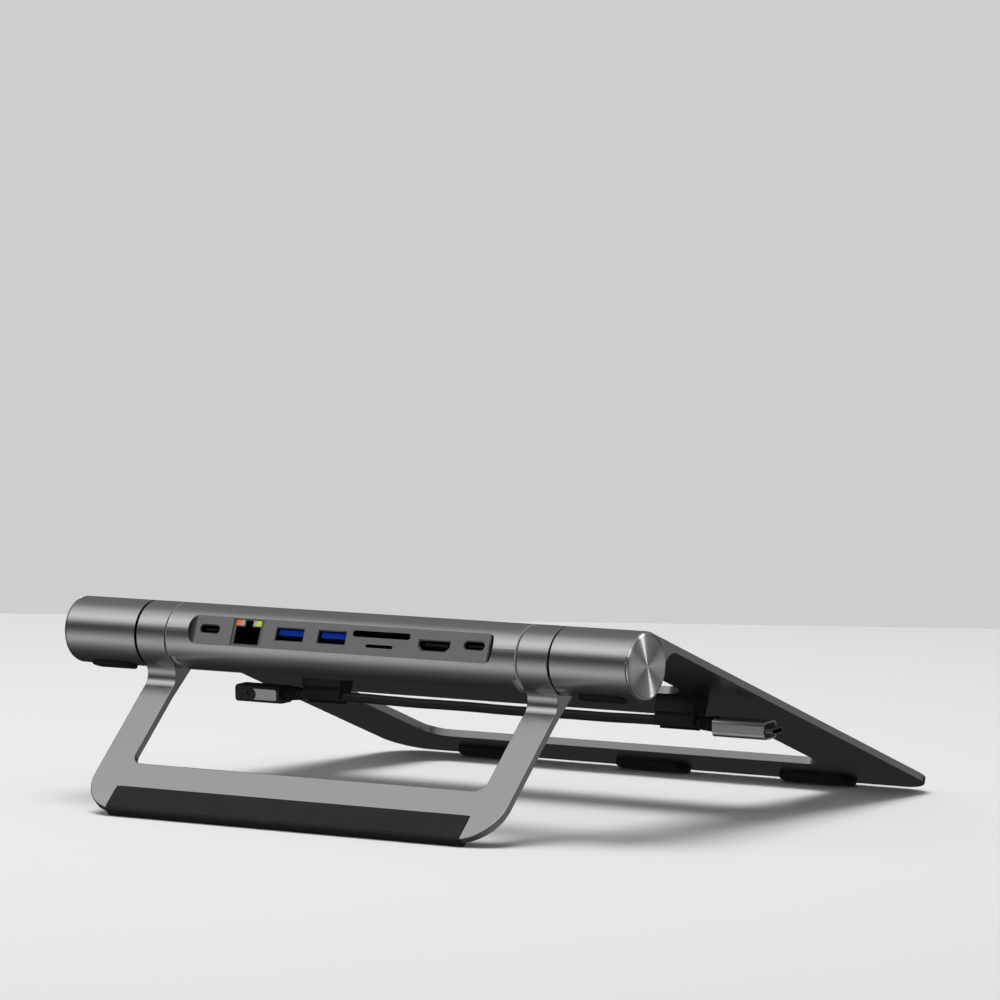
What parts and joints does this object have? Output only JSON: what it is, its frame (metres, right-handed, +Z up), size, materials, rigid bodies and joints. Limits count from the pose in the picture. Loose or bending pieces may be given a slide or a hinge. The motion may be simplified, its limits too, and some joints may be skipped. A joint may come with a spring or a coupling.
{
  "type": "laptop docking station stand",
  "caption": "Tilted aluminium laptop stand with a port hub in its round rear bar, a folding U-shaped leg and a host cable clipped under the plate.",
  "frame": {"origin": "on the table plane, under the middle of the hinge bar (within 1.5 mm of the middle of the overall bounding box, which the plug tip of the stored cable widens on one side); z = 0 is the table", "axes": "+Z up, +X along the bar, +Y towards the ports (the user sits at -Y)"},
  "size_m": [0.2663, 0.2641, 0.0788],
  "materials": {
    "anodised": "satin space grey anodised",
    "spun": "spun face with circular grain",
    "steel": "plain turned steel",
    "nickel": "bright nickel plated",
    "bronze": "plain bronze bearing",
    "rubber": "matt black",
    "black_plastic": "fine matt",
    "blue_plastic": "blue insert",
    "board": "green solder mask",
    "chip": "moulded epoxy",
    "gold": "gold flash",
    "led_orange": "light pipe",
    "led_green": "light pipe",
    "cable_jacket": "satin cable jacket",
    "grey_panel": "satin grey anodised"
  },
  "bodies": {
    "platform": {"platform_plate": "anodised", "hub_housing": "anodised", "hub_plug_left": "steel", "hinge_shaft_left": "steel", "hinge_springs_left": "steel", "hinge_nut_left": "steel", "end_disc_left": "spun", "hub_plug_right": "steel", "hinge_shaft_right": "steel", "hinge_springs_right": "steel", "hinge_nut_right": "steel", "end_disc_right": "spun", "board_carrier": "black_plastic", "main_board": "board", "board_screws": "steel", "controller_chips": "chip", "usb_c_shell_left": "nickel", "usb_c_tongue_left": "black_plastic", "usb_c_shell_right": "nickel", "usb_c_tongue_right": "black_plastic", "usb_a_shell_one": "nickel", "usb_a_tongue_one": "blue_plastic", "usb_a_shell_two": "nickel", "usb_a_tongue_two": "blue_plastic", "ethernet_jack": "black_plastic", "ethernet_led_orange": "led_orange", "ethernet_led_green": "led_green", "ethernet_contacts": "gold", "card_reader": "black_plastic", "hdmi_shell": "nickel", "hdmi_tongue": "black_plastic", "tube_pad_left": "rubber", "tube_pad_right": "rubber", "top_pad_left": "rubber", "top_pad_right": "rubber", "front_pad_left": "rubber", "front_pad_right": "rubber", "front_foot_left": "rubber", "front_foot_middle": "rubber", "front_foot_right": "rubber", "stop_pin_left": "steel", "stop_pin_right": "steel", "cable_clip_left": "rubber", "cable_clip_right": "rubber"},
    "leg": {"leg_frame": "anodised", "leg_foot_strip": "rubber", "ring_bushing_left": "bronze", "ring_bushing_right": "bronze"},
    "stop_left": {"front_stop_left": "anodised"},
    "stop_right": {"front_stop_right": "anodised"},
    "stored_cable": {"cable": "cable_jacket", "strain_relief_left": "rubber", "strain_relief_right": "rubber", "plug_sleeve_right": "grey_panel", "plug_core_right": "black_plastic", "plug_tip_right": "nickel", "plug_body_left": "black_plastic", "plug_panel_left": "grey_panel", "plug_tip_left": "nickel"}
  },
  "joints": [
    {"name": "leg_fold", "type": "hinge", "parent": "platform", "child": "leg", "pos_m": [0, 0.08187, 0.0658], "axis": [-1, 0, 0], "range_deg": [0, 115]},
    {"name": "stop_left_flip", "type": "hinge", "parent": "platform", "child": "stop_left", "pos_m": [0.046, -0.12468, 0.00495], "axis": [1, 0, 0], "range_deg": [0, 90]},
    {"name": "stop_right_flip", "type": "hinge", "parent": "platform", "child": "stop_right", "pos_m": [-0.046, -0.12468, 0.00495], "axis": [1, 0, 0], "range_deg": [0, 90]},
    {"name": "cable_unclip", "type": "slide", "parent": "platform", "child": "stored_cable", "axis": [0, 0.335, -0.9422], "range_m": [0, 0.02]}
  ]
}
